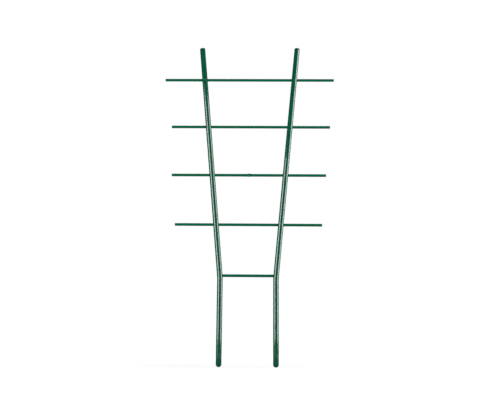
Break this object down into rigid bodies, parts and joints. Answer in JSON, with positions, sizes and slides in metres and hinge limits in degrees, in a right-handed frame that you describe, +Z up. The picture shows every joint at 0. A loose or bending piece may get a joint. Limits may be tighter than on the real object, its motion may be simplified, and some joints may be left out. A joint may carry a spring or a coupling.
{
  "type": "ladder trellis",
  "caption": "Flat ladder trellis for a climbing plant in a pot: two leaning plastic-coated steel legs joined by cross rungs, with straight feet that push into the soil.",
  "frame": {"origin": "midway between the feet, level with the lowest point of their tips", "axes": "+X along the rungs to the right, +Y from front to back, +Z up; the punch marks are on the front, -Y"},
  "size_m": [0.375, 0.012, 0.7],
  "materials": {
    "leg_jacket": "glossy dark green extruded plastic jacket",
    "rung_jacket": "semi-gloss dark green plastic coating on wire",
    "moulded_plug": "satin dark green moulded plastic",
    "collar": "glossy mid-green plastic bead",
    "tube_steel": "galvanised, hidden in the jacket",
    "wire_steel": "drawn wire, hidden in the jacket"
  },
  "bodies": {
    "root": {"left_leg_tube": "tube_steel", "left_leg_jacket": "leg_jacket", "left_top_cap": "moulded_plug", "left_ground_tip": "moulded_plug", "right_leg_tube": "tube_steel", "right_leg_jacket": "leg_jacket", "right_top_cap": "moulded_plug", "right_ground_tip": "moulded_plug", "rung_1_wire": "wire_steel", "rung_1_jacket": "rung_jacket", "rung_2_wire": "wire_steel", "rung_2_jacket": "rung_jacket", "rung_3_wire": "wire_steel", "rung_3_jacket": "rung_jacket", "rung_4_wire": "wire_steel", "rung_4_jacket": "rung_jacket", "rung_5_wire": "wire_steel", "rung_5_jacket": "rung_jacket", "rung_3_collar": "collar"}
  },
  "joints": []
}
